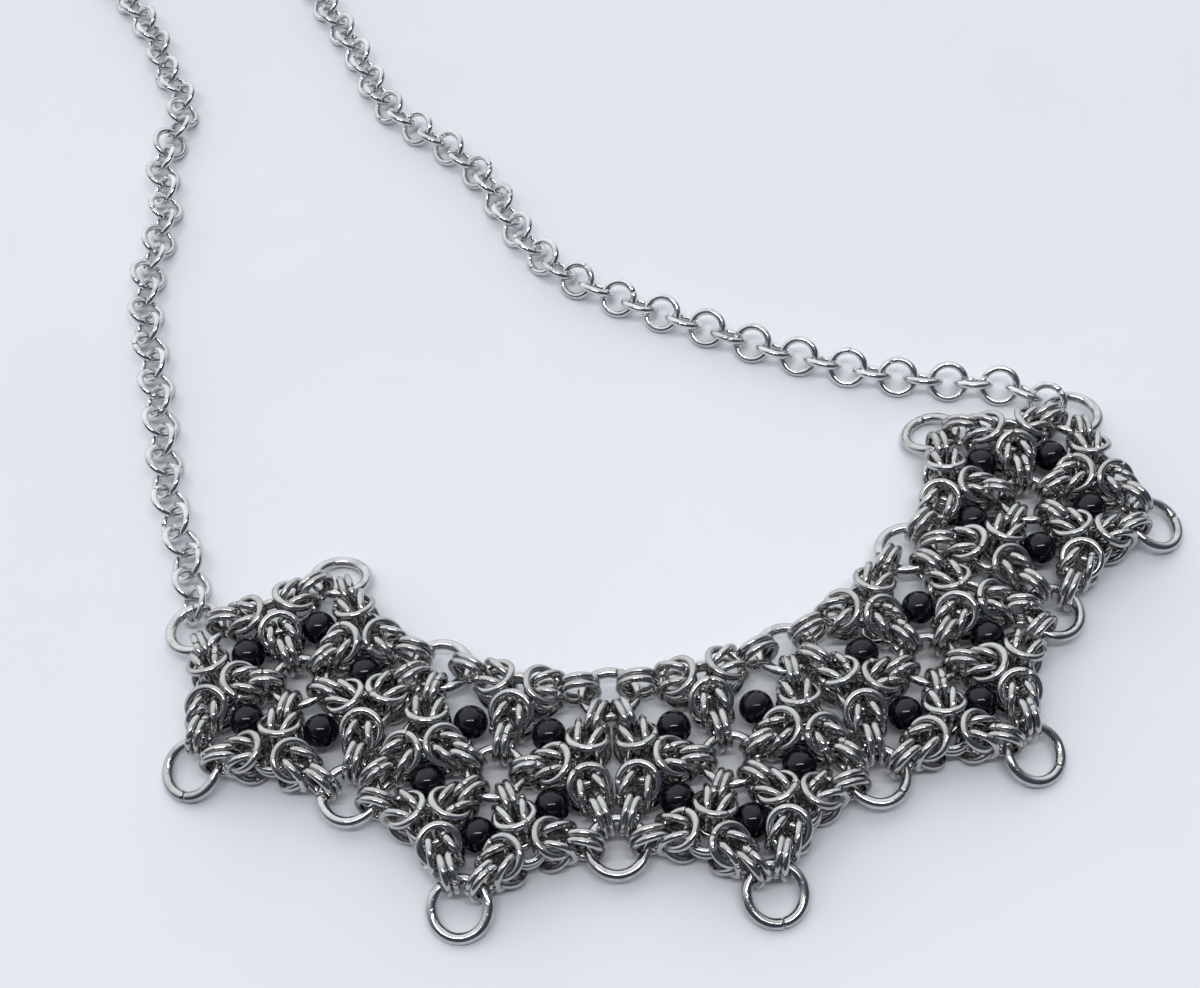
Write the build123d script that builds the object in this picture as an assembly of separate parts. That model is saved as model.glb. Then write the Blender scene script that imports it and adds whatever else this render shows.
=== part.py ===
"""A bib necklace of linked steel rings and black beads, lying flat on a table.

Five rosettes stand in a row and share the rings at their corners. Each rosette has one
centre ring, five knots of small rings round it, and a bead in each of its five cells.
Each knot has three arms: a spoke to the centre ring and two arms to corner rings.
A plain chain of small rings goes round the neck from both ends and meets at a clasp.

Lengths are millimetres and angles are degrees. The table is z = 0, the bib points to -Y
and the clasp to +Y. The origin is on the table, under the middle of the whole necklace.
"""
from build123d import *
import math
import os
import random

# Small rings of the knots and of the chain
link_wire = 0.9
link_bore = 3.5

# Large rings at the corners and in the rosette centres
corner_wire = 1.3
corner_bore = 5.0
centre_wire = 1.1
centre_bore = 5.0

# Beads
bead_diameter = 4.0
bead_hole = 0.9
bead_clearance = 0.15

# Clearances: side by side wires, a wire in a ring that it hangs on, a link pair's large ring,
# and two facing knots
wire_gap = 0.03
hook_gap = 0.12
pair_gap = 0.27
face_gap = 0.13

# Shape of an arm: how far the lap rings tilt, the fin rings splay and the arms turn
lap_tilt = 31.2
fin_splay = 15.0
arm_turn = 108.0
hub_radius = 1.2
hub_foot = 0.6
spine_radius = 0.4
pair_web = 0.4

# Play left in an arm before its large ring touches the fin rings
spoke_play = 0.12
neck_spoke_play = 0.77
corner_play = 0.57
free_play = 0.15

# How far arms aim to their own rosette's side of a large ring's middle: arms along a shared
# edge, the other arms at a shared ring, and arms at a ring of one rosette
edge_aim = 0.55
side_aim = -1.38
free_aim = -0.3

# How far a large ring hangs below the knots' middle, and how far a shared one falls outward
held_drop = 0.33
shared_fall = 0.9

# Where the chain's end rings hang, on the chain rings and the clasp: height of those wires,
# and distance from them to the end ring's middle
lifted_height = 2.0
end_hold = 0.5

# Row of rosettes: place of the third one, heading from each rosette to the next, and the
# twist of the edge that two rosettes share
third_centre = (11.6, -40.0)
joints = [
    {"heading": -32.0, "twist": -3.0},
    {"heading": -2.0, "twist": 0.0},
    {"heading": 23.0, "twist": 2.0},
    {"heading": 52.5, "twist": 3.3},
]

# Chain: slack in each link, straight lead at its ends, and lean of its rings to the two sides
# in turn, with a random spread; the ring at each end stands steeper
chain_slack = 0.18
chain_lead = 3.0
chain_lean = 40.0
chain_end_lean = 50.0
chain_lean_spread = 2.0
chain_seed = 5
right_leaving = 138.0
left_leaving = 98.0

# Clasp: an oval loop with a small eye
clasp_wire = 1.2
clasp_loop_radius = 2.3
clasp_loop_length = 5.0
clasp_eye_bore = 2.6
clasp_place = (-71.2, 113.0)
clasp_heading = 292.0
clasp_weld = 0.5

# Points that the two halves of the chain pass, from the bib to the clasp
right_route = [
    (47.0, 11.3),
    (39.4, 13.2),
    (20.4, 21.6),
    (8.4, 28.6),
    (-2.6, 36.6),
    (-8.4, 45.8),
    (-12.5, 55.7),
    (-19.6, 64.8),
    (-25.8, 72.0),
    (-30.1, 83.3),
    (-34.1, 93.0),
    (-38.0, 103.5),
    (-41.2, 113.0),
    (-43.6, 121.3),
    (-48.9, 127.6),
    (-56.4, 131.4),
    (-65.0, 132.0),
    (-72.8, 128.6),
]
left_route = [
    (-54.2, 3.1),
    (-56.4, 16.8),
    (-58.7, 30.0),
    (-59.6, 42.8),
    (-58.0, 55.0),
    (-58.8, 65.5),
    (-57.1, 71.5),
    (-56.8, 77.5),
    (-59.5, 84.0),
    (-61.8, 91.7),
]

# Sizes that follow from the ones above
link_radius = (link_bore + link_wire) / 2
corner_radius = (corner_bore + corner_wire) / 2
centre_radius = (centre_bore + centre_wire) / 2
half_pair = (link_wire + wire_gap) / 2

lap_rise = link_radius * math.sin(math.radians(lap_tilt))
lap_height = half_pair + lap_rise
knot_middle = lap_height + lap_rise + link_wire / 2

fin_apex = link_bore / 2 - link_wire / 2 - hook_gap
fin_apex_x = math.sqrt(fin_apex**2 - half_pair**2)
fin_x = fin_apex_x + link_radius * math.cos(math.radians(fin_splay))
fin_y = half_pair + link_radius * math.sin(math.radians(fin_splay))
fin_reach = fin_x + link_radius * math.cos(math.radians(fin_splay)) + link_wire / 2


def circle_extent(tilt, direction):
    """Half width of a ring's circle, tilted about its own side axis, seen along a direction."""
    along = math.cos(math.radians(tilt)) * math.cos(math.radians(direction))
    return link_radius * math.hypot(along, math.sin(math.radians(direction)))


# The lap rings of two neighbouring arms lie back to back against the plane between the arms
half_turn = arm_turn / 2
lap_side = circle_extent(lap_tilt, 90 - half_turn) + link_wire / 2 + wire_gap
lap_x = lap_side / math.sin(math.radians(half_turn))
knuckle = lap_x + (link_radius - link_wire) * math.cos(math.radians(lap_tilt))

# The knots of two neighbouring rosettes lie back to back against their shared edge
outward = 180 - arm_turn
lap_face = lap_x * math.cos(math.radians(outward)) + circle_extent(lap_tilt, outward)
fin_end_x = fin_x + link_radius * math.cos(math.radians(fin_splay))
fin_end_y = fin_y + link_radius * math.sin(math.radians(fin_splay))
fin_face = fin_end_x * math.cos(math.radians(outward)) + fin_end_y * math.sin(math.radians(outward))
edge_gap = max(lap_face, fin_face) + link_wire / 2 + face_gap / 2

spoke = fin_reach + centre_wire / 2 + spoke_play + centre_radius
neck_spoke = fin_reach + centre_wire / 2 + neck_spoke_play + centre_radius
tight_arm = fin_reach + corner_wire / 2 + corner_play + corner_radius
half_edge = math.sqrt(tight_arm**2 - edge_gap**2)
rosette_pitch = 2 * (spoke + edge_gap)

clasp_eye_radius = (clasp_eye_bore + clasp_wire) / 2
clasp_loop_end = clasp_loop_length / 2 + clasp_loop_radius
clasp_eye_place = clasp_loop_end + clasp_eye_radius - clasp_weld


def step(start, direction, length):
    """The point a length away from a start, in a direction on the table."""
    return start + Vector(length, 0).rotate(Axis.Z, direction)


def direction(start, end):
    """Direction on the table from one point to another."""
    return math.degrees(math.atan2(end.Y - start.Y, end.X - start.X))


def middle(first, second):
    """Direction halfway between two directions."""
    return first + ((second - first + 180) % 360 - 180) / 2


def rosette_centres():
    """The five centres, from left to right."""
    third = Vector(*third_centre)
    second = step(third, joints[1]["heading"], -rosette_pitch)
    first = step(second, joints[0]["heading"], -rosette_pitch)
    fourth = step(third, joints[2]["heading"], rosette_pitch)
    fifth = step(fourth, joints[3]["heading"], rosette_pitch)
    return [first, second, third, fourth, fifth]


def shared_edges(centres):
    """The edge that each two neighbouring rosettes share: its middle, and the way across it."""
    edges = []
    for place, joint in enumerate(joints):
        halfway = step(centres[place], joint["heading"], rosette_pitch / 2)
        edges.append({"middle": halfway, "across": joint["heading"] + joint["twist"]})
    return edges


def edge_knot(edge, side):
    """The knot against a shared edge, on the left side (-1) or on the right side (1) of it."""
    return step(edge["middle"], edge["across"], side * edge_gap)


def end_rosette(centre, facing, turning):
    """Outer knots and own corners of a rosette with one neighbour, counted from that one."""
    knots = [step(centre, facing + turning * 72 * turn, spoke) for turn in range(1, 5)]
    reach = 2 * spoke * math.cos(math.radians(36)) + free_play
    own = [step(centre, facing + turning * (36 + 72 * turn), reach) for turn in range(1, 4)]
    return knots, own


def middle_rosette(centre, before, after):
    """Neck knot, the two outer knots and the tip of a rosette between two shared edges."""
    neck = middle(direction(centre, before["neck"]), direction(centre, after["neck"]))
    tip_way = neck + 180
    low_right = middle(direction(centre, after["outer"]), tip_way)
    low_left = middle(direction(centre, before["outer"]), tip_way)
    half = abs((low_left - tip_way + 180) % 360 - 180)
    reach = 2 * spoke * math.cos(math.radians(half)) + free_play
    knots = [step(centre, neck, neck_spoke), step(centre, low_right, spoke), step(centre, low_left, spoke)]
    return knots, step(centre, tip_way, reach)


def large_ring(place, radius, wire, held_height, free_height, free_way, edge=None):
    """A large ring as a record: where it is, its wire, how it falls, and the edge it ends."""
    return {
        "place": place,
        "radius": radius,
        "wire": wire,
        "height": (held_height + free_height) / 2,
        "free_way": free_way,
        "slope": (held_height - free_height) / (2 * radius),
        "edge": edge,
    }


def ring_solid(ring):
    tilt = math.degrees(math.asin(ring["slope"]))
    body = Torus(ring["radius"], ring["wire"] / 2)
    place = ring["place"]
    return Pos(place.X, place.Y, ring["height"]) * Rot(0, 0, ring["free_way"]) * Rot(0, tilt, 0) * body


def free_corner(place, centre, free_height):
    """A corner ring with arms on one side only: its free side falls to a given height."""
    held = knot_middle - held_drop
    return large_ring(place, corner_radius, corner_wire, held, free_height, direction(centre, place))


def shared_corner(place, middle_point):
    """A corner ring of two rosettes: it falls a little, away from the edge that they share."""
    held = knot_middle - held_drop / 2
    way = direction(middle_point, place)
    return large_ring(place, corner_radius, corner_wire, held, held - shared_fall, way, middle_point)


def centre_ring(place):
    return large_ring(place, centre_radius, centre_wire, knot_middle, knot_middle, 0)


def pair_of_links():
    """Two small rings side by side as one body, standing in the plane of their arm."""
    wires = Pos(0, half_pair) * Circle(link_wire / 2) + Pos(0, -half_pair) * Circle(link_wire / 2)
    profile = wires + Rectangle(pair_web, 2 * half_pair)
    section = Plane.XZ * Pos(link_radius, 0)
    return Rot(90, 0, 0) * revolve(section * profile, Axis.Z)


def aim_point(knot, centre, ring):
    """Where an arm points: a little beside a large ring's middle, to keep clear of other arms."""
    if (ring["place"] - centre).length < centre_radius:
        return ring["place"]
    if ring["edge"] is None:
        aside = free_aim
    elif (knot - ring["edge"]).length < spoke / 2:
        aside = edge_aim
    else:
        aside = side_aim
    return step(ring["place"], direction(ring["place"], centre), aside)


def arm_root(knot, centre, aim):
    """Direction in which an arm leaves its knot: the spoke, or the arm turn to either side."""
    spoke_way = direction(knot, centre)
    if (aim - centre).length < centre_radius:
        return spoke_way
    swing = (direction(knot, aim) - spoke_way + 180) % 360 - 180
    return spoke_way + math.copysign(arm_turn, swing)


def wire_height(ring, way):
    """Height of a large ring's wire on the side that a direction names."""
    return ring["height"] - ring["slope"] * ring["radius"] * math.cos(math.radians(way - ring["free_way"]))


def hold(wire, gap, rise):
    """How far a small ring's middle can be from a wire inside it, given their heights' difference."""
    room = link_bore / 2 - wire / 2 - gap
    return math.sqrt(room**2 - rise**2)


def arm_places(knot, centre, ring):
    """Places of an arm's rings: the lap rings, the fin rings and the link pair."""
    aim = aim_point(knot, centre, ring)
    root_way = arm_root(knot, centre, aim)
    bend = step(knot, root_way, knuckle)
    pair_way = direction(bend, aim)
    forward = Vector(1, 0).rotate(Axis.Z, pair_way)
    to_ring = ring["place"] - bend
    ahead = to_ring.dot(forward)
    crossing = ahead - math.sqrt(ahead**2 - to_ring.dot(to_ring) + ring["radius"] ** 2)
    hooked = step(bend, pair_way, crossing)
    side = direction(ring["place"], hooked)
    rise = knot_middle - wire_height(ring, side)
    eye = step(hooked, pair_way, -hold(ring["wire"], pair_gap, rise))

    root = Pos(knot.X, knot.Y, knot_middle) * Rot(0, 0, root_way)
    laps = []
    fins = []
    for side in (1, -1):
        laps.append(root * Pos(lap_x, 0, side * lap_height) * Rot(0, side * lap_tilt, 0))
        fins.append(root * Pos(fin_x, side * fin_y, 0) * Rot(0, 0, side * fin_splay) * Rot(90, 0, 0))
    pair = Pos(eye.X, eye.Y, knot_middle) * Rot(0, 0, pair_way)
    return laps, fins, pair


def arm_solids(knot, centre, ring):
    """The lap rings, fin rings and link pair that tie a knot to one large ring."""
    laps, fins, pair = arm_places(knot, centre, ring)
    small = Torus(link_radius, link_wire / 2)
    solids = [place * small for place in laps + fins]
    solids.append(pair * pair_of_links())

    inner = (pair * Pos(-link_radius, 0, 0)).position
    way = direction(knot, inner)
    start = step(knot, way, hub_radius / 2)
    length = (Vector(inner.X, inner.Y) - start).length
    spine = Rot(0, 90, 0) * Cylinder(spine_radius, length, align=(Align.CENTER, Align.CENTER, Align.MIN))
    solids.append(Pos(start.X, start.Y, knot_middle) * Rot(0, 0, way) * spine)
    return solids


def knot_solid(knot, centre, rings):
    """A knot of small rings as one body: a hub, and three arms round it."""
    hub_height = 2 * (knot_middle - hub_foot)
    hub = Pos(knot.X, knot.Y, knot_middle) * Cylinder(hub_radius, hub_height)
    arms = []
    for ring in rings:
        arms.extend(arm_solids(knot, centre, ring))
    return hub.fuse(*arms).solid()


def wire_points(knot, centre, ring):
    """Points along the wires of all the small rings of one arm."""
    laps, fins, pair = arm_places(knot, centre, ring)
    pairs = [pair * Pos(0, side * half_pair, 0) * Rot(90, 0, 0) for side in (1, -1)]
    points = []
    for place in laps + fins + pairs:
        plane = Plane(place)
        for turn in range(0, 360, 8):
            along = link_radius * math.cos(math.radians(turn))
            across = link_radius * math.sin(math.radians(turn))
            points.append(tuple(plane.from_local_coords((along, across))))
    return points


def bead_solid(centre, corner, wires):
    """A drilled bead, as near to the rosette's centre as the small rings let it lie."""
    way = direction(centre, corner)
    apart = bead_diameter / 2 + link_wire / 2 + bead_clearance
    reaches = [spoke / 2 + 0.05 * number for number in range(120)]
    places = []
    for reach in reaches:
        spot = step(centre, way, reach)
        places.append((spot.X, spot.Y, knot_middle))
    rooms = [min(math.dist(place, wire) for wire in wires) for place in places]
    fitting = [place for place, room in zip(places, rooms) if room >= apart]
    seat = fitting[0] if fitting else places[rooms.index(max(rooms))]
    ball = Sphere(bead_diameter / 2) - Rot(0, 90, 0) * Cylinder(bead_hole / 2, bead_diameter * 2)
    return Pos(*seat) * Rot(0, 0, way) * ball


def chain_height(lean):
    """Height of the middle of a chain ring that leans on the table."""
    return link_radius * math.sin(math.radians(abs(lean))) + link_wire / 2


def chain_line(start, leaving, route, finish, arriving):
    """The chain's smooth route, straight for a short lead at both ends."""
    points = [start, step(start, leaving, chain_lead)]
    points += [Vector(*point) for point in route]
    points += [step(finish, arriving, -chain_lead), finish]
    ways = [Vector(1, 0).rotate(Axis.Z, way) for way in (leaving, arriving)]
    return Spline(*points, tangents=ways, tangent_scalars=(1, 1))


def chain_solids(line):
    """Small rings along a route, each leaning the other way from the last."""
    last = math.ceil(line.length / (link_bore - chain_slack))
    rng = random.Random(chain_seed)
    links = []
    for number in range(last + 1):
        spot = line.position_at(number / last)
        heading = direction(Vector(0, 0), line.tangent_at(number / last))
        lean = chain_lean + rng.uniform(-1, 1) * chain_lean_spread
        if number in (0, last):
            lean = chain_end_lean
        if number % 2 == 0:
            lean = -lean
        ring = Rot(lean, 0, 0) * Torus(link_radius, link_wire / 2)
        links.append(Pos(spot.X, spot.Y, chain_height(lean)) * Rot(0, 0, heading) * ring)
    return links


def clasp_solid():
    """An oval loop and a small eye in one piece, held flat by the chain's last rings."""
    path = SlotCenterToCenter(clasp_loop_length, 2 * clasp_loop_radius).wire()
    section = Plane(path @ 0, z_dir=path % 0) * Circle(clasp_wire / 2)
    eye = Pos(clasp_eye_place, 0) * Torus(clasp_eye_radius, clasp_wire / 2)
    body = sweep(section, path) + eye
    return Pos(*clasp_place, lifted_height) * Rot(0, 0, clasp_heading) * body


def clasp_ends():
    """Centres of the last chain ring in the eye and of the last one in the loop."""
    place = Vector(*clasp_place)
    eye_end = step(place, clasp_heading, clasp_eye_place + clasp_eye_radius + end_hold)
    return eye_end, step(place, clasp_heading, -clasp_loop_end - end_hold)


def rosettes(edges):
    """For each rosette: its centre, its five knots and corner rings in turn, and its own rings.

    A knot comes before the corner ring that follows it round the rosette.
    """
    centres = rosette_centres()
    on_table = corner_wire / 2
    layouts = []
    for place, centre in enumerate(centres):
        if place == 0:
            edge = edges[0]
            knots, own = end_rosette(centre, edge["across"], 1)
            heights = (on_table, lifted_height, on_table)
            own_rings = [free_corner(spot, centre, height) for spot, height in zip(own, heights)]
            knots = [edge_knot(edge, -1), *knots]
            rings = [edge["neck_ring"], *own_rings, edge["outer_ring"]]
            names = ["left_end_ring", "left_chain_ring", "tip_ring_1"]
        elif place == len(centres) - 1:
            edge = edges[-1]
            knots, own = end_rosette(centre, edge["across"] + 180, -1)
            heights = (on_table, lifted_height, on_table)
            own_rings = [free_corner(spot, centre, height) for spot, height in zip(own, heights)]
            knots = [edge_knot(edge, 1), *knots]
            rings = [edge["neck_ring"], *own_rings, edge["outer_ring"]]
            names = ["right_end_ring", "right_chain_ring", "tip_ring_5"]
        else:
            before, after = edges[place - 1], edges[place]
            (neck, low_right, low_left), tip = middle_rosette(centre, before, after)
            own_rings = [free_corner(tip, centre, on_table)]
            knots = [edge_knot(before, 1), neck, edge_knot(after, -1), low_right, low_left]
            rings = [before["neck_ring"], after["neck_ring"], after["outer_ring"]]
            rings += [own_rings[0], before["outer_ring"]]
            names = [f"tip_ring_{place + 1}"]
        layouts.append({"centre": centre, "knots": knots, "rings": rings, "own": dict(zip(names, own_rings))})
    return layouts


def edges_with_rings():
    """The shared edges, each with the two rings at its ends."""
    edges = shared_edges(rosette_centres())
    for edge in edges:
        edge["neck"] = step(edge["middle"], edge["across"] + 90, half_edge)
        edge["outer"] = step(edge["middle"], edge["across"] - 90, half_edge)
        edge["neck_ring"] = shared_corner(edge["neck"], edge["middle"])
        edge["outer_ring"] = shared_corner(edge["outer"], edge["middle"])
    return edges


def chain_start(ring, leaving):
    """Centre of the chain's first ring, which hangs on a ring of the bib."""
    return step(ring["place"], leaving, ring["radius"] + end_hold)


def chain_lines(left_ring, right_ring):
    """The routes of both halves of the chain, each from its ring on the bib to the clasp."""
    eye_end, loop_end = clasp_ends()
    left_start = chain_start(left_ring, left_leaving)
    right_start = chain_start(right_ring, right_leaving)
    left = chain_line(left_start, left_leaving, left_route, eye_end, clasp_heading + 180)
    right = chain_line(right_start, right_leaving, right_route, loop_end, clasp_heading)
    return left, right


def necklace():
    """Every piece of the necklace by name, in the drawing's own place."""
    pieces = {}
    edges = edges_with_rings()
    for number, edge in enumerate(edges, start=1):
        pieces[f"neck_ring_{number}"] = ring_solid(edge["neck_ring"])
        pieces[f"outer_ring_{number}"] = ring_solid(edge["outer_ring"])

    layouts = rosettes(edges)
    for number, layout in enumerate(layouts, start=1):
        centre, knots, rings = layout["centre"], layout["knots"], layout["rings"]
        for name, ring in layout["own"].items():
            pieces[name] = ring_solid(ring)
        hub_ring = centre_ring(centre)
        pieces[f"centre_ring_{number}"] = ring_solid(hub_ring)
        solids = []
        wires = []
        for place, knot in enumerate(knots):
            around = [hub_ring, rings[place - 1], rings[place]]
            solids.append(knot_solid(knot, centre, around))
            wires.append([point for ring in around for point in wire_points(knot, centre, ring)])
        pieces[f"woven_knots_{number}"] = Compound(solids)
        for place, ring in enumerate(rings):
            beside = wires[place] + wires[(place + 1) % len(wires)]
            pieces[f"bead_{number}_{place + 1}"] = bead_solid(centre, ring["place"], beside)

    left_ring = layouts[0]["own"]["left_chain_ring"]
    right_ring = layouts[-1]["own"]["right_chain_ring"]
    left_line, right_line = chain_lines(left_ring, right_ring)
    pieces["chain_left"] = Compound(chain_solids(left_line))
    pieces["chain_right"] = Compound(chain_solids(right_line))
    pieces["clasp"] = clasp_solid()
    return pieces


def main():
    pieces = necklace()
    box = Compound(list(pieces.values())).bounding_box()
    to_origin = Pos(-box.center().X, -box.center().Y, 0)
    os.makedirs("parts", exist_ok=True)
    for name, piece in pieces.items():
        placed = to_origin * piece
        placed.label = name
        export_step(placed, f"parts/{name}.step")
    print("box", box, "shift", -box.center().X, -box.center().Y)


main()
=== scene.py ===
"""Looks of a chainmail necklace: bright steel rings and black beads on a pale table.

Everything is in metres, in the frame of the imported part. Sizes of wire, rings and beads
are written in millimetres and turned into metres with MM, and angles are in degrees.
The large rings and the chain are found in the frame. The small woven rings are worked
out from them, as a maker would weave them: knots of two flat rings, each with three arms.
"""

import math
import random

import bmesh
import bpy
import numpy as np
from mathutils import Matrix, Vector


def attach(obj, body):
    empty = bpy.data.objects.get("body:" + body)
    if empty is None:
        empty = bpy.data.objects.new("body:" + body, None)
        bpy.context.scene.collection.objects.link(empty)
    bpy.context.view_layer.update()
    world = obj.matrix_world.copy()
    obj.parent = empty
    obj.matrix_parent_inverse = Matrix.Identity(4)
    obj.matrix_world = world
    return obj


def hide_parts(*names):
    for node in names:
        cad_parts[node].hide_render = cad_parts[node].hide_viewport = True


MM = 0.001

# Small rings, which are alike in the weave and in the chain.
LINK_WIRE = 0.9 * MM
LINK_BORE = 3.5 * MM
LINK_RADIUS = (LINK_BORE + LINK_WIRE) / 2

# Large rings at the corners and in the middle of each rosette.
CORNER_WIRE = 1.3 * MM
CORNER_RADIUS = 3.15 * MM
CENTRE_WIRE = 1.1 * MM
CENTRE_RADIUS = 3.05 * MM

# How the small rings of an arm lie against each other.
WIRE_GAP = 0.03 * MM
HOOK_GAP = 0.12 * MM
PAIR_GAP = 0.27 * MM
FACE_GAP = 0.13 * MM
LAP_TILT = 31.2
FIN_SPLAY = 15.0
ARM_TURN = 108.0
SPOKE_PLAY = 0.12 * MM
NECK_SPOKE_PLAY = 0.77 * MM

# Where an arm points, beside the middle of the large ring that it holds.
EDGE_AIM = 0.55 * MM
SIDE_AIM = -1.38 * MM
FREE_AIM = -0.3 * MM

# Handwork: how far a small ring strays from its place, and how its cut ends meet.
STRAY_TURN = 4.2
STRAY_STEP = 0.06 * MM
CHAIN_STRAY_TURN = 1.5
CUT_GAP = 0.05 * MM
CUT_MISFIT = 0.05 * MM
CUT_BEVEL = 0.1
TONE_SPREAD = 0.5
HAND_SEED = 11

# Colours of the steel wire, as it reflects.
CHAIN_STEEL = (0.74, 0.74, 0.735)
BRIGHT_STEEL = (0.63, 0.63, 0.625)
STEEL = (0.54, 0.54, 0.53)
DULL_STEEL = (0.42, 0.415, 0.405)

# Colours of the beads, clean and smudged, and of the dust on them.
BEAD_BLACK = (0.0016, 0.0022, 0.005)
BEAD_SMUDGE = (0.0035, 0.0045, 0.009)
BEAD_DUST = (0.16, 0.16, 0.17)

# Colours of the table, its paler clouds and its specks.
TABLE_PALE = (0.86, 0.885, 0.93)
TABLE_CLOUD = (0.90, 0.92, 0.96)
TABLE_SPECK = (0.30, 0.31, 0.34)
TABLE_HALF = 0.6

# Fineness of the ring meshes, round the ring and round its wire.
SMALL_TURNS, SMALL_SIDES = 40, 12
LARGE_TURNS, LARGE_SIDES = 96, 24

# The photograph's camera: its angles are those of its line of sight.
CAMERA_LENS = 53.25
SENSOR_WIDTH = 36.0
CAMERA_ELEVATION = 55.12
CAMERA_AZIMUTH = 1.11
CAMERA_ROLL = -4.18
CAMERA_DISTANCE = 224.58 * MM
CAMERA_TARGET = Vector((3.07, -37.54, 0.0)) * MM

# The room's light: where its window is, and how bright the room is, from turned away from the
# window (0) to straight at it (1).
WINDOW_WAY = (-0.28, 0.80, 0.53)
ROOM_LIGHT = [
    (0.08, (0.060, 0.067, 0.090, 1)),
    (0.34, (0.25, 0.265, 0.30, 1)),
    (0.50, (0.72, 0.745, 0.78, 1)),
    (0.80, (0.94, 0.97, 1.0, 1)),
]
ROOM_STRENGTH = 1.22

# The thin lamp over the table, what it points at, and its length and width.
LAMP_PLACE = (0.01, -0.27, 0.86)
LAMP_TARGET = (0.01, -0.01, 0)
LAMP_SIZE = (0.74, 0.04)
LAMP_POWER = 2.5
LAMP_COLOUR = (1.0, 0.99, 0.98)

# Corner rings of each rosette in turn, from the neck side of its first shared edge.
ROSETTE_CORNERS = {
    1: ["neck_ring_1", "left_end_ring", "left_chain_ring", "tip_ring_1", "outer_ring_1"],
    2: ["neck_ring_1", "neck_ring_2", "outer_ring_2", "tip_ring_2", "outer_ring_1"],
    3: ["neck_ring_2", "neck_ring_3", "outer_ring_3", "tip_ring_3", "outer_ring_2"],
    4: ["neck_ring_3", "neck_ring_4", "outer_ring_4", "tip_ring_4", "outer_ring_3"],
    5: ["neck_ring_4", "right_end_ring", "right_chain_ring", "tip_ring_5", "outer_ring_4"],
}

# Where the cut of a large ring shows in the photograph, as a direction on the table.
CUT_WAYS = {
    "tip_ring_1": 250.0,
    "tip_ring_3": 280.0,
    "tip_ring_4": 330.0,
    "tip_ring_5": 20.0,
    "right_end_ring": 100.0,
}


# Places of the small rings


def plan_step(start, way, length):
    """The point on the plan a length away from a start, in a direction in degrees."""
    angle = math.radians(way)
    return start + Vector((math.cos(angle), math.sin(angle))) * length


def plan_way(start, end):
    """Direction on the plan from one point to another, in degrees."""
    return math.degrees(math.atan2(end.y - start.y, end.x - start.x))


def halfway(first, second):
    """Direction halfway between two directions."""
    return first + ((second - first + 180) % 360 - 180) / 2


def circle_extent(tilt, way):
    """How far a small ring tilted about its arm's cross line reaches in a direction."""
    flat = math.cos(math.radians(tilt)) * math.cos(math.radians(way))
    return LINK_RADIUS * math.hypot(flat, math.sin(math.radians(way)))


def weave_sizes():
    """Distances inside a knot and its arms, worked out from the wire and the ring."""
    half_pair = (LINK_WIRE + WIRE_GAP) / 2
    lap_rise = LINK_RADIUS * math.sin(math.radians(LAP_TILT))
    lap_height = half_pair + lap_rise
    middle = lap_height + lap_rise + LINK_WIRE / 2

    fin_apex = LINK_BORE / 2 - LINK_WIRE / 2 - HOOK_GAP
    splay = math.radians(FIN_SPLAY)
    fin_x = math.sqrt(fin_apex**2 - half_pair**2) + LINK_RADIUS * math.cos(splay)
    fin_y = half_pair + LINK_RADIUS * math.sin(splay)
    fin_end_x = fin_x + LINK_RADIUS * math.cos(splay)
    fin_end_y = fin_y + LINK_RADIUS * math.sin(splay)
    fin_reach = fin_end_x + LINK_WIRE / 2

    half_turn = ARM_TURN / 2
    lap_side = circle_extent(LAP_TILT, 90 - half_turn) + LINK_WIRE / 2 + WIRE_GAP
    lap_x = lap_side / math.sin(math.radians(half_turn))
    knuckle = lap_x + (LINK_RADIUS - LINK_WIRE) * math.cos(math.radians(LAP_TILT))

    outward = math.radians(180 - ARM_TURN)
    lap_face = lap_x * math.cos(outward) + circle_extent(LAP_TILT, 180 - ARM_TURN)
    fin_face = fin_end_x * math.cos(outward) + fin_end_y * math.sin(outward)
    hold = CENTRE_WIRE / 2 + CENTRE_RADIUS
    return {
        "half_pair": half_pair,
        "lap_height": lap_height,
        "lap_x": lap_x,
        "middle": middle,
        "fin_x": fin_x,
        "fin_y": fin_y,
        "knuckle": knuckle,
        "edge_gap": max(lap_face, fin_face) + LINK_WIRE / 2 + FACE_GAP / 2,
        "spoke": fin_reach + hold + SPOKE_PLAY,
        "neck_spoke": fin_reach + hold + NECK_SPOKE_PLAY,
    }


SIZES = weave_sizes()


def node_points(name):
    """The corner points of a node's mesh, as one array."""
    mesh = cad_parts[name].data
    points = np.empty(len(mesh.vertices) * 3)
    mesh.vertices.foreach_get("co", points)
    return points.reshape(-1, 3)


def ring_from_points(points):
    """Middle and axis of a ring, found from points all over it."""
    spread = np.cov((points - points.mean(0)).T)
    axes = np.linalg.eigh(spread)[1]
    along = points @ axes
    middle = Vector(axes @ ((along.min(0) + along.max(0)) / 2))
    axis = Vector(axes[:, 0])
    return middle, axis if axis.z > 0 else -axis


def large_ring(name, radius, wire):
    """A large ring of the frame as a record: its name, middle, axis, radius and wire."""
    middle, axis = ring_from_points(node_points(name))
    return {
        "name": name,
        "place": middle.xy,
        "height": middle.z,
        "middle": middle,
        "axis": axis,
        "radius": radius,
        "wire": wire,
    }


def wire_height(ring, way):
    """Height of a large ring's wire on the side that a direction names."""
    angle = math.radians(way)
    slope = (ring["axis"].x * math.cos(angle) + ring["axis"].y * math.sin(angle)) / ring["axis"].z
    return ring["height"] - slope * ring["radius"]


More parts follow.
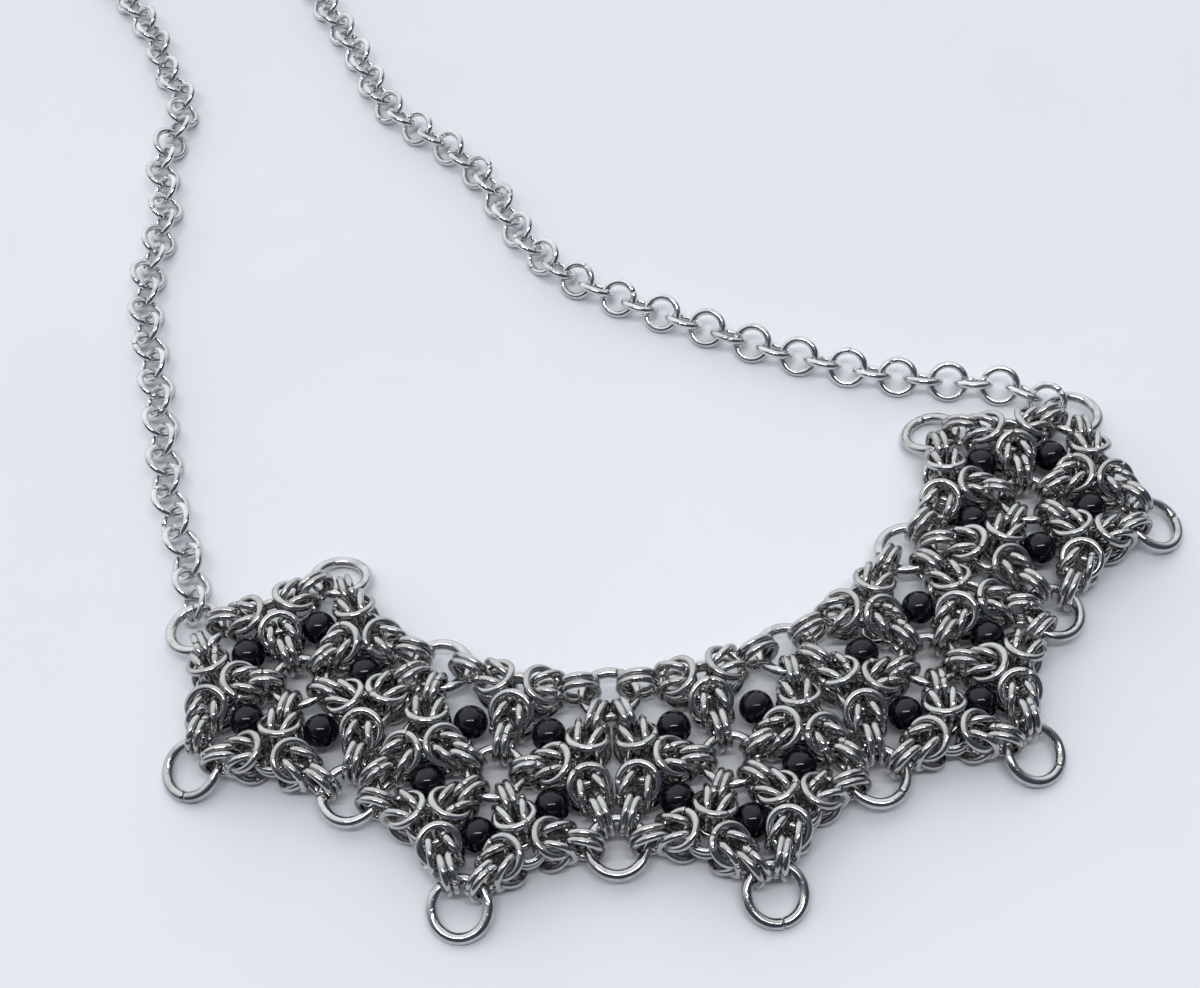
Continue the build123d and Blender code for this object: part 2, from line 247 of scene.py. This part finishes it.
def shared_edge(number):
    """The edge between a rosette and the next one: its middle, and the way across it."""
    neck = RINGS[f"neck_ring_{number}"]["place"]
    outer = RINGS[f"outer_ring_{number}"]["place"]
    return {"middle": (neck + outer) / 2, "across": plan_way(outer, neck) - 90}


def edge_knot(edge, side):
    """The knot against a shared edge, on its left side (-1) or its right side (1)."""
    return plan_step(edge["middle"], edge["across"], side * SIZES["edge_gap"])


def end_knots(centre, edge, side):
    """Knots of a rosette with one neighbour, counted from the shared edge."""
    facing = edge["across"] if side < 0 else edge["across"] + 180
    spokes = [facing - side * 72 * turn for turn in range(1, 5)]
    outer = [plan_step(centre, way, SIZES["spoke"]) for way in spokes]
    return [edge_knot(edge, side), *outer]


def middle_knots(number, centre):
    """Knots of a rosette between two others: edge, neck, edge and the two lower ones."""
    corners = [RINGS[name]["place"] for name in ROSETTE_CORNERS[number]]
    neck_before, neck_after, outer_after, tip, outer_before = corners
    neck = halfway(plan_way(centre, neck_before), plan_way(centre, neck_after))
    low_right = halfway(plan_way(centre, outer_after), plan_way(centre, tip))
    low_left = halfway(plan_way(centre, outer_before), plan_way(centre, tip))
    return [
        edge_knot(shared_edge(number - 1), 1),
        plan_step(centre, neck, SIZES["neck_spoke"]),
        edge_knot(shared_edge(number), -1),
        plan_step(centre, low_right, SIZES["spoke"]),
        plan_step(centre, low_left, SIZES["spoke"]),
    ]


def rosette_knots(number):
    """The five knots of a rosette, each before the corner ring of the same count."""
    centre = RINGS[f"centre_ring_{number}"]["place"]
    if number == 1:
        return end_knots(centre, shared_edge(1), -1)
    if number == 5:
        return end_knots(centre, shared_edge(4), 1)
    return middle_knots(number, centre)


def arm_aim(knot, centre, ring):
    """Where an arm points: at a large ring's middle, or a little beside it."""
    name = ring["name"]
    if name.startswith("centre"):
        return ring["place"]
    if not name.startswith(("neck", "outer")):
        aside = FREE_AIM
    elif (knot - shared_edge(int(name[-1]))["middle"]).length < SIZES["spoke"] / 2:
        aside = EDGE_AIM
    else:
        aside = SIDE_AIM
    return plan_step(ring["place"], plan_way(ring["place"], centre), aside)


def arm_root(knot, centre, ring):
    """Direction in which an arm leaves its knot: the spoke, or a turn to either side."""
    spoke_way = plan_way(knot, centre)
    if ring["name"].startswith("centre"):
        return spoke_way
    swing = (plan_way(knot, arm_aim(knot, centre, ring)) - spoke_way + 180) % 360 - 180
    return spoke_way + math.copysign(ARM_TURN, swing)


def turn(angle, axis):
    """A turn about an axis, by an angle in degrees."""
    return Matrix.Rotation(math.radians(angle), 4, axis)


def shift(x, y, z):
    """A move along the three axes."""
    return Matrix.Translation((x, y, z))


def arm_places(knot, centre, ring):
    """Places of the six small rings of an arm: two laps, two fins and the hooked pair."""
    root_way = arm_root(knot, centre, ring)
    bend = plan_step(knot, root_way, SIZES["knuckle"])
    pair_way = plan_way(bend, arm_aim(knot, centre, ring))
    forward = plan_step(Vector((0, 0)), pair_way, 1)
    to_ring = ring["place"] - bend
    ahead = to_ring.dot(forward)
    crossing = ahead - math.sqrt(ahead**2 - to_ring.length_squared + ring["radius"] ** 2)
    hooked = plan_step(bend, pair_way, crossing)
    rise = SIZES["middle"] - wire_height(ring, plan_way(ring["place"], hooked))
    room = LINK_BORE / 2 - ring["wire"] / 2 - PAIR_GAP
    eye = plan_step(hooked, pair_way, -math.sqrt(room**2 - rise**2))

    root = shift(knot.x, knot.y, SIZES["middle"]) @ turn(root_way, "Z")
    pair = shift(eye.x, eye.y, SIZES["middle"]) @ turn(pair_way, "Z")
    places = []
    for side in (1, -1):
        lap = root @ shift(SIZES["lap_x"], 0, side * SIZES["lap_height"])
        places.append(lap @ turn(side * LAP_TILT, "Y"))
        fin = root @ shift(SIZES["fin_x"], side * SIZES["fin_y"], 0)
        places.append(fin @ turn(side * FIN_SPLAY, "Z") @ turn(90, "X"))
        places.append(pair @ shift(0, side * SIZES["half_pair"], 0) @ turn(90, "X"))
    return places


def rosette_places(number):
    """Places of all the small rings of a rosette."""
    centre_ring = RINGS[f"centre_ring_{number}"]
    corners = [RINGS[name] for name in ROSETTE_CORNERS[number]]
    places = []
    for count, knot in enumerate(rosette_knots(number)):
        for side in (1, -1):
            places.append(shift(knot.x, knot.y, SIZES["middle"] + side * SIZES["half_pair"]))
        for ring in (centre_ring, corners[count - 1], corners[count]):
            places += arm_places(knot, centre_ring["place"], ring)
    return places


def chain_places(node):
    """Places of the rings of one half of the chain, found in the frame."""
    work = bmesh.new()
    work.from_mesh(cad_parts[node].data)
    bmesh.ops.remove_doubles(work, verts=work.verts, dist=0.001 * MM)
    unseen = set(work.verts)
    places = []
    for first in list(work.verts):
        if first not in unseen:
            continue
        unseen.remove(first)
        loose, front = [], [first]
        while front:
            point = front.pop()
            loose.append(point.co.copy())
            for edge in point.link_edges:
                other = edge.other_vert(point)
                if other in unseen:
                    unseen.remove(other)
                    front.append(other)
        middle, axis = ring_from_points(np.array(loose))
        places.append(shift(*middle) @ axis.to_track_quat("Z", "Y").to_matrix().to_4x4())
    work.free()
    return places


def strayed(place, rng, largest_turn):
    """A small ring's place with a little handwork in it, kept above the table."""
    way = Vector((rng.uniform(-1, 1), rng.uniform(-1, 1), rng.uniform(-1, 1))).normalized()
    tilt = Matrix.Rotation(math.radians(rng.uniform(-largest_turn, largest_turn)), 4, way)
    move = Vector(rng.uniform(-STRAY_STEP, STRAY_STEP) for _ in range(3))
    place = Matrix.Translation(move) @ place @ tilt
    axis = place.to_3x3() @ Vector((0, 0, 1))
    reach = LINK_RADIUS * math.hypot(axis.x, axis.y) + (LINK_WIRE + CUT_MISFIT) / 2
    lowest = place.translation.z - reach
    return Matrix.Translation((0, 0, max(0, -lowest))) @ place


# Meshes of cut wire rings


def cut_ring(radius, wire, turns, sides, gap, misfit):
    """Points, faces and wire coordinates (in mm) of a ring bent from wire and cut at 0."""
    start = gap / radius / 2
    end = 2 * math.pi - start
    bevel = CUT_BEVEL * wire / radius
    angles = [start, *np.linspace(start + bevel, end - bevel, turns + 1), end]
    scales = [0.8, *[1.0] * (turns + 1), 0.8]
    points = []
    for angle, scale in zip(angles, scales):
        slide = misfit * (angle / (2 * math.pi) - 0.5)
        for side in range(sides):
            round_wire = 2 * math.pi * side / sides
            out = radius + scale * wire / 2 * math.cos(round_wire)
            rise = scale * wire / 2 * math.sin(round_wire) + slide
            points.append((out * math.cos(angle), out * math.sin(angle), rise))

    faces, coordinates = [], []
    along = [angle * radius / MM for angle in angles]
    across = [math.pi * wire * side / sides / MM for side in range(sides + 1)]
    for station in range(len(angles) - 1):
        for side in range(sides):
            after = (side + 1) % sides
            low, high = station * sides, (station + 1) * sides
            faces.append((low + side, high + side, high + after, low + after))
            coordinates += [
                (along[station], across[side]),
                (along[station + 1], across[side]),
                (along[station + 1], across[side + 1]),
                (along[station], across[side + 1]),
            ]
    last = (len(angles) - 1) * sides
    faces.append(tuple(range(sides)))
    faces.append(tuple(range(last + sides - 1, last - 1, -1)))
    coordinates += [(along[0], 0.0)] * sides + [(along[-1], 0.0)] * sides
    return np.array(points), faces, np.array(coordinates)


def ring_piece(name, pattern, places, tones, material):
    """One piece of many rings, each a copy of a pattern ring in its own place."""
    pattern_points, pattern_faces, pattern_wire = pattern
    points, faces, wire, shades = [], [], [], []
    for count, (place, tone) in enumerate(zip(places, tones)):
        matrix = np.array(place)
        points.append(pattern_points @ matrix[:3, :3].T + matrix[:3, 3])
        first = count * len(pattern_points)
        faces += [tuple(first + corner for corner in face) for face in pattern_faces]
        wire.append(pattern_wire + (tone * 97.0, tone * 13.0))
        shades += [tone] * len(pattern_points)
    mesh = bpy.data.meshes.new(name)
    mesh.from_pydata(np.concatenate(points).tolist(), [], faces)
    layer = mesh.uv_layers.new(name="wire")
    layer.data.foreach_set("uv", np.concatenate(wire).ravel())
    mesh.attributes.new("ring_tone", "FLOAT", "POINT").data.foreach_set("value", shades)
    mesh.shade_smooth()
    mesh.materials.append(material)
    piece = bpy.data.objects.new(name, mesh)
    bpy.context.scene.collection.objects.link(piece)
    return piece


def small_ring_piece(node, places, largest_turn, slot):
    """The small rings that stand for a node of the frame, with their handwork."""
    rng = random.Random(f"{node} {HAND_SEED}")
    turned = [
        strayed(place, rng, largest_turn) @ turn(rng.uniform(0, 360), "Z") for place in places
    ]
    tones = [rng.random() for _ in places]
    pattern = cut_ring(LINK_RADIUS, LINK_WIRE, SMALL_TURNS, SMALL_SIDES, CUT_GAP, CUT_MISFIT)
    piece = ring_piece(f"{node}_rings", pattern, turned, tones, FINISHES[slot])
    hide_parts(node)
    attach(piece, "root")
    return piece


def large_ring_piece(ring):
    """A large ring with its cut, in the place of its node."""
    name = ring["name"]
    rng = random.Random(f"{name} {HAND_SEED}")
    upright = ring["axis"].to_track_quat("Z", "Y").to_matrix().to_4x4()
    seen_way = CUT_WAYS.get(name, rng.uniform(0, 360))
    local = upright.inverted() @ plan_step(Vector((0, 0)), seen_way, 1).to_3d()
    cut_way = math.degrees(math.atan2(local.y, local.x))
    place = Matrix.Translation(ring["middle"]) @ upright @ turn(cut_way, "Z")
    pattern = cut_ring(ring["radius"], ring["wire"], LARGE_TURNS, LARGE_SIDES, CUT_GAP, CUT_MISFIT)
    piece = ring_piece(f"{name}_wire", pattern, [place], [rng.random()], FINISHES["large_rings"])
    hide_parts(name)
    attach(piece, "root")
    return piece


# Node groups for effects that several finishes share


def place_node(tree, kind, column, row, **settings):
    """A new node at a column and row of the tree, with its settings and socket values."""
    node = tree.nodes.new(kind)
    node.location = (220 * column, -240 * row)
    for key, value in settings.items():
        if key in node.inputs:
            node.inputs[key].default_value = value
        else:
            setattr(node, key, value)
    return node


def new_effect(name, inputs, outputs):
    """An empty node group with named inputs (and their values) and outputs."""
    group = bpy.data.node_groups.new(name, "ShaderNodeTree")
    for label, value in inputs.items():
        socket = group.interface.new_socket(label, in_out="INPUT", socket_type="NodeSocketFloat")
        socket.default_value = value
    for label in outputs:
        group.interface.new_socket(label, in_out="OUTPUT", socket_type="NodeSocketFloat")
    entry = place_node(group, "NodeGroupInput", 0, 0)
    leave = place_node(group, "NodeGroupOutput", 8, 0)
    return group, entry, leave


def drawn_lines_effect():
    """Fine lines that run along a drawn wire."""
    group, entry, leave = new_effect("drawn_lines", {"Fineness": 9.0, "Length": 0.12}, ["Height"])
    wire = place_node(group, "ShaderNodeUVMap", 0, 1, uv_map="wire")
    apart = place_node(group, "ShaderNodeSeparateXYZ", 1, 1)
    stretch = place_node(group, "ShaderNodeMath", 2, 0, operation="MULTIPLY")
    squeeze = place_node(group, "ShaderNodeMath", 2, 1, operation="MULTIPLY")
    together = place_node(group, "ShaderNodeCombineXYZ", 3, 0)
    noise = place_node(group, "ShaderNodeTexNoise", 4, 0, Scale=1.0, Detail=4.0, Roughness=0.65)
    link = group.links.new
    link(wire.outputs["UV"], apart.inputs["Vector"])
    link(apart.outputs["X"], stretch.inputs[0])
    link(entry.outputs["Length"], stretch.inputs[1])
    link(apart.outputs["Y"], squeeze.inputs[0])
    link(entry.outputs["Fineness"], squeeze.inputs[1])
    link(stretch.outputs[0], together.inputs["X"])
    link(squeeze.outputs[0], together.inputs["Y"])
    link(together.outputs[0], noise.inputs["Vector"])
    link(noise.outputs["Fac"], leave.inputs["Height"])
    return group


def place_in_mm(tree, column, row):
    """A node output with the place on the object, in millimetres."""
    spot = place_node(tree, "ShaderNodeTexCoord", column, row)
    scale = place_node(tree, "ShaderNodeVectorMath", column + 1, row, operation="SCALE")
    scale.inputs["Scale"].default_value = 1 / MM
    tree.links.new(spot.outputs["Object"], scale.inputs[0])
    return scale.outputs[0]


def patches_effect():
    """Soft patches, such as haze, smudges or a change of tone."""
    inputs = {"Per mm": 0.6, "Start": 0.45, "End": 0.75}
    group, entry, leave = new_effect("soft_patches", inputs, ["Mask"])
    spot = place_in_mm(group, 0, 1)
    noise = place_node(group, "ShaderNodeTexNoise", 3, 0, Detail=5.0, Roughness=0.6, Distortion=0.4)
    spread = place_node(group, "ShaderNodeMapRange", 5, 0, interpolation_type="SMOOTHSTEP")
    link = group.links.new
    link(spot, noise.inputs["Vector"])
    link(entry.outputs["Per mm"], noise.inputs["Scale"])
    link(noise.outputs["Fac"], spread.inputs["Value"])
    link(entry.outputs["Start"], spread.inputs["From Min"])
    link(entry.outputs["End"], spread.inputs["From Max"])
    link(spread.outputs["Result"], leave.inputs["Mask"])
    return group


def scratches_effect():
    """Hair scratches in many directions, as a mask of thin lines."""
    inputs = {"Per mm": 1.6, "Width": 0.03}
    group, entry, leave = new_effect("hair_scratches", inputs, ["Mask"])
    spot = place_in_mm(group, 0, 1)
    bend = place_node(group, "ShaderNodeTexNoise", 3, 1, Scale=0.5, Detail=2.0)
    bent = place_node(group, "ShaderNodeVectorMath", 4, 0, operation="MULTIPLY_ADD")
    bent.inputs[1].default_value = (1.5, 1.5, 1.5)
    cells = place_node(group, "ShaderNodeTexVoronoi", 5, 0, feature="DISTANCE_TO_EDGE")
    line = place_node(group, "ShaderNodeMapRange", 6, 0)
    line.inputs["From Min"].default_value = 0.0
    line.inputs["To Min"].default_value = 1.0
    line.inputs["To Max"].default_value = 0.0
    link = group.links.new
    link(spot, bend.inputs["Vector"])
    link(bend.outputs["Color"], bent.inputs[0])
    link(spot, bent.inputs[2])
    link(bent.outputs[0], cells.inputs["Vector"])
    link(entry.outputs["Per mm"], cells.inputs["Scale"])
    link(cells.outputs["Distance"], line.inputs["Value"])
    link(entry.outputs["Width"], line.inputs["From Max"])
    link(line.outputs["Result"], leave.inputs["Mask"])
    return group


def specks_effect():
    """Small scattered specks of dust."""
    inputs = {"Per mm": 0.08, "Size": 0.02}
    group, entry, leave = new_effect("dust_specks", inputs, ["Mask"])
    spot = place_in_mm(group, 0, 1)
    cells = place_node(group, "ShaderNodeTexVoronoi", 5, 0, feature="F1")
    dot = place_node(group, "ShaderNodeMapRange", 6, 0, interpolation_type="SMOOTHSTEP")
    dot.inputs["From Min"].default_value = 0.0
    dot.inputs["To Min"].default_value = 1.0
    dot.inputs["To Max"].default_value = 0.0
    link = group.links.new
    link(spot, cells.inputs["Vector"])
    link(entry.outputs["Per mm"], cells.inputs["Scale"])
    link(cells.outputs["Distance"], dot.inputs["Value"])
    link(entry.outputs["Size"], dot.inputs["From Max"])
    link(dot.outputs["Result"], leave.inputs["Mask"])
    return group


def place_effect(tree, effect, column, row, **values):
    """An effect placed in a finish with its own values; an underscore stands for a space."""
    node = place_node(tree, "ShaderNodeGroup", column, row, node_tree=effect)
    for key, value in values.items():
        node.inputs[key.replace("_", " ")].default_value = value
    return node


# Finishes


def new_finish(name):
    """A material with its surface shader, and the tree to build it in."""
    material = bpy.data.materials.new(name)
    material.use_nodes = True
    tree = material.node_tree
    tree.nodes.clear()
    shader = place_node(tree, "ShaderNodeBsdfPrincipled", 9, 0)
    output = place_node(tree, "ShaderNodeOutputMaterial", 11, 0)
    tree.links.new(shader.outputs["BSDF"], output.inputs["Surface"])
    return material, tree, shader


def steel_finish(name, colour, dull_colour, smooth, dull, lines):
    """Bright drawn steel wire: haze in patches, fine drawn lines and hair scratches."""
    material, tree, shader = new_finish(name)
    shader.inputs["Metallic"].default_value = 1.0
    link = tree.links.new

    haze = place_effect(tree, EFFECTS["patches"], 0, 0, Per_mm=0.55, Start=0.42, End=0.78)
    tone = place_node(tree, "ShaderNodeAttribute", 0, 1, attribute_name="ring_tone")
    scratches = place_effect(tree, EFFECTS["scratches"], 0, 2, Per_mm=0.9, Width=0.025)
    drawn = place_effect(tree, EFFECTS["drawn"], 0, 3, Fineness=7.0, Length=0.15)

    dulled = place_node(tree, "ShaderNodeMath", 2, 0, operation="MULTIPLY_ADD")
    dulled.inputs[1].default_value = TONE_SPREAD
    dulled.use_clamp = True
    link(tone.outputs["Fac"], dulled.inputs[0])
    link(haze.outputs["Mask"], dulled.inputs[2])
    shade = place_node(tree, "ShaderNodeMix", 5, 0, data_type="RGBA")
    shade.inputs["A"].default_value = (*colour, 1)
    shade.inputs["B"].default_value = (*dull_colour, 1)
    link(dulled.outputs[0], shade.inputs["Factor"])
    link(shade.outputs["Result"], shader.inputs["Base Color"])

    rough = place_node(tree, "ShaderNodeMapRange", 4, 1)
    rough.inputs["To Min"].default_value = smooth
    rough.inputs["To Max"].default_value = dull
    link(dulled.outputs[0], rough.inputs["Value"])
    worn = place_node(tree, "ShaderNodeMath", 6, 1, operation="MULTIPLY_ADD", use_clamp=True)
    worn.inputs[1].default_value = 0.12
    link(scratches.outputs["Mask"], worn.inputs[0])
    link(rough.outputs["Result"], worn.inputs[2])
    link(worn.outputs[0], shader.inputs["Roughness"])

    relief = place_node(tree, "ShaderNodeMath", 4, 3, operation="MULTIPLY_ADD")
    relief.inputs[1].default_value = lines
    link(drawn.outputs["Height"], relief.inputs[0])
    cut = place_node(tree, "ShaderNodeMath", 3, 2, operation="MULTIPLY")
    cut.inputs[1].default_value = -0.4
    link(scratches.outputs["Mask"], cut.inputs[0])
    link(cut.outputs[0], relief.inputs[2])
    bump = place_node(tree, "ShaderNodeBump", 7, 3, Strength=0.35, Distance=0.02 * MM)
    link(relief.outputs[0], bump.inputs["Height"])
    link(bump.outputs["Normal"], shader.inputs["Normal"])
    return material


def bead_finish(name):
    """Black polished stone beads with faint smudges and a little dust."""
    material, tree, shader = new_finish(name)
    shader.inputs["Specular IOR Level"].default_value = 0.4
    link = tree.links.new

    smudges = place_effect(tree, EFFECTS["patches"], 0, 0, Per_mm=0.7, Start=0.4, End=0.8)
    scratches = place_effect(tree, EFFECTS["scratches"], 0, 1, Per_mm=0.8, Width=0.02)
    dust = place_effect(tree, EFFECTS["specks"], 0, 2, Per_mm=1.1, Size=0.06)

    shade = place_node(tree, "ShaderNodeMix", 3, 0, data_type="RGBA")
    shade.inputs["A"].default_value = (*BEAD_BLACK, 1)
    shade.inputs["B"].default_value = (*BEAD_SMUDGE, 1)
    link(smudges.outputs["Mask"], shade.inputs["Factor"])
    dusted = place_node(tree, "ShaderNodeMix", 5, 0, data_type="RGBA")
    dusted.inputs["B"].default_value = (*BEAD_DUST, 1)
    link(dust.outputs["Mask"], dusted.inputs["Factor"])
    link(shade.outputs["Result"], dusted.inputs["A"])
    link(dusted.outputs["Result"], shader.inputs["Base Color"])

    rough = place_node(tree, "ShaderNodeMapRange", 4, 1)
    rough.inputs["To Min"].default_value = 0.02
    rough.inputs["To Max"].default_value = 0.06
    link(smudges.outputs["Mask"], rough.inputs["Value"])
    link(rough.outputs["Result"], shader.inputs["Roughness"])

    bump = place_node(tree, "ShaderNodeBump", 7, 3, Strength=0.15, Distance=0.01 * MM)
    bump.invert = True
    link(scratches.outputs["Mask"], bump.inputs["Height"])
    link(bump.outputs["Normal"], shader.inputs["Normal"])
    return material


def table_finish(name):
    """A smooth pale table with soft clouds of tone and a few specks."""
    material, tree, shader = new_finish(name)
    link = tree.links.new

    clouds = place_effect(tree, EFFECTS["patches"], 0, 0, Per_mm=0.012, Start=0.3, End=0.7)
    specks = place_effect(tree, EFFECTS["specks"], 0, 1, Per_mm=0.05, Size=0.014)
    grain = place_effect(tree, EFFECTS["patches"], 0, 2, Per_mm=0.8, Start=0.2, End=0.8)

    shade = place_node(tree, "ShaderNodeMix", 3, 0, data_type="RGBA")
    shade.inputs["A"].default_value = (*TABLE_PALE, 1)
    shade.inputs["B"].default_value = (*TABLE_CLOUD, 1)
    link(clouds.outputs["Mask"], shade.inputs["Factor"])
    specked = place_node(tree, "ShaderNodeMix", 5, 0, data_type="RGBA")
    specked.inputs["B"].default_value = (*TABLE_SPECK, 1)
    link(specks.outputs["Mask"], specked.inputs["Factor"])
    link(shade.outputs["Result"], specked.inputs["A"])
    link(specked.outputs["Result"], shader.inputs["Base Color"])

    rough = place_node(tree, "ShaderNodeMapRange", 4, 1)
    rough.inputs["To Min"].default_value = 0.42
    rough.inputs["To Max"].default_value = 0.52
    link(grain.outputs["Mask"], rough.inputs["Value"])
    link(rough.outputs["Result"], shader.inputs["Roughness"])
    bump = place_node(tree, "ShaderNodeBump", 7, 3, Strength=0.1, Distance=0.01 * MM)
    link(grain.outputs["Mask"], bump.inputs["Height"])
    link(bump.outputs["Normal"], shader.inputs["Normal"])
    return material


# Table, light and camera


def lay_table():
    """The pale table under the necklace."""
    half = TABLE_HALF
    mesh = bpy.data.meshes.new("table")
    corners = [(-half, -half, 0), (half, -half, 0), (half, half, 0), (-half, half, 0)]
    mesh.from_pydata(corners, [], [(0, 1, 2, 3)])
    mesh.materials.append(FINISHES["table"])
    table = bpy.data.objects.new("table", mesh)
    bpy.context.scene.collection.objects.link(table)


def add_light(name, place, target, size, power, colour):
    """A soft rectangular light that points at a target."""
    lamp = bpy.data.lights.new(name, "AREA")
    lamp.shape = "RECTANGLE"
    lamp.size, lamp.size_y = size
    lamp.energy = power
    lamp.color = colour
    light = bpy.data.objects.new(name, lamp)
    light.location = place
    light.rotation_euler = (Vector(target) - Vector(place)).to_track_quat("-Z", "Y").to_euler()
    bpy.context.scene.collection.objects.link(light)


def light_room():
    """A room that is bright towards a far window, with one thin lamp over the table."""
    add_light("ceiling_lamp", LAMP_PLACE, LAMP_TARGET, LAMP_SIZE, LAMP_POWER, LAMP_COLOUR)

    world = bpy.data.worlds.new("room")
    world.use_nodes = True
    tree = world.node_tree
    tree.nodes.clear()
    spot = place_node(tree, "ShaderNodeTexCoord", 0, 0)
    towards = place_node(tree, "ShaderNodeVectorMath", 1, 0, operation="DOT_PRODUCT")
    towards.inputs[1].default_value = Vector(WINDOW_WAY).normalized()
    ramp = place_node(tree, "ShaderNodeValToRGB", 2, 0)
    ramp.color_ramp.interpolation = "B_SPLINE"
    stops = ramp.color_ramp.elements
    stops[0].position, stops[0].color = ROOM_LIGHT[0]
    stops[1].position, stops[1].color = ROOM_LIGHT[-1]
    for position, colour in ROOM_LIGHT[1:-1]:
        stops.new(position).color = colour
    back = place_node(tree, "ShaderNodeBackground", 4, 0, Strength=ROOM_STRENGTH)
    output = place_node(tree, "ShaderNodeOutputWorld", 5, 0)
    tree.links.new(spot.outputs["Generated"], towards.inputs[0])
    tree.links.new(towards.outputs["Value"], ramp.inputs["Fac"])
    tree.links.new(ramp.outputs["Color"], back.inputs["Color"])
    tree.links.new(back.outputs["Background"], output.inputs["Surface"])
    bpy.context.scene.world = world


def set_camera():
    """The camera at the photograph's angle."""
    elevation = math.radians(CAMERA_ELEVATION)
    azimuth = math.radians(CAMERA_AZIMUTH)
    roll = math.radians(CAMERA_ROLL)
    across = Vector((math.cos(azimuth), -math.sin(azimuth), 0))
    level = Vector((-math.sin(azimuth), -math.cos(azimuth), 0))
    back = level * math.cos(elevation) + Vector((0, 0, math.sin(elevation)))
    up = back.cross(across)
    right = math.cos(roll) * across + math.sin(roll) * up
    top = -math.sin(roll) * across + math.cos(roll) * up

    lens = bpy.data.cameras.new("photo_camera")
    lens.lens = CAMERA_LENS
    lens.sensor_width = SENSOR_WIDTH
    lens.clip_start = 0.01
    camera = bpy.data.objects.new("photo_camera", lens)
    turned = Matrix((right, top, back)).transposed().to_4x4()
    camera.matrix_world = Matrix.Translation(CAMERA_TARGET + back * CAMERA_DISTANCE) @ turned
    bpy.context.scene.collection.objects.link(camera)
    bpy.context.scene.camera = camera


def set_finish(node, material):
    """A node of the frame gets a finish in all its material slots."""
    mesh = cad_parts[node].data
    mesh.materials.clear()
    mesh.materials.append(material)


# The necklace

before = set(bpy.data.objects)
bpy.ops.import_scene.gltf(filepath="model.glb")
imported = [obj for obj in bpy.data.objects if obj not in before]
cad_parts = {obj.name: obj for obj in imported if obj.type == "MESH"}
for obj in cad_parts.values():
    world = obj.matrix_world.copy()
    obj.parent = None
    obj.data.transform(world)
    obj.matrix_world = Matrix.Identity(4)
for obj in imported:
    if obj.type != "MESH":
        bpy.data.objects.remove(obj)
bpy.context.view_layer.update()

EFFECTS = {
    "drawn": drawn_lines_effect(),
    "patches": patches_effect(),
    "scratches": scratches_effect(),
    "specks": specks_effect(),
}
FINISHES = {
    "woven_rings": steel_finish("woven_ring_steel", STEEL, DULL_STEEL, 0.05, 0.15, 0.6),
    "large_rings": steel_finish("large_ring_steel", BRIGHT_STEEL, DULL_STEEL, 0.04, 0.12, 0.5),
    "chain": steel_finish("chain_steel", CHAIN_STEEL, STEEL, 0.06, 0.18, 0.6),
    "clasp": steel_finish("clasp_steel", STEEL, DULL_STEEL, 0.10, 0.22, 0.0),
    "bead": bead_finish("black_bead"),
    "table": table_finish("pale_table"),
}

RINGS = {}
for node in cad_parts:
    if node.startswith("centre_ring"):
        RINGS[node] = large_ring(node, CENTRE_RADIUS, CENTRE_WIRE)
    elif "_ring" in node:
        RINGS[node] = large_ring(node, CORNER_RADIUS, CORNER_WIRE)

for number in ROSETTE_CORNERS:
    small_ring_piece(f"woven_knots_{number}", rosette_places(number), STRAY_TURN, "woven_rings")
for node in ("chain_left", "chain_right"):
    small_ring_piece(node, chain_places(node), CHAIN_STRAY_TURN, "chain")
for ring in RINGS.values():
    large_ring_piece(ring)
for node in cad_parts:
    if node.startswith("bead"):
        set_finish(node, FINISHES["bead"])
set_finish("clasp", FINISHES["clasp"])

lay_table()
light_room()
set_camera()
bpy.context.scene.view_settings.view_transform = "Standard"
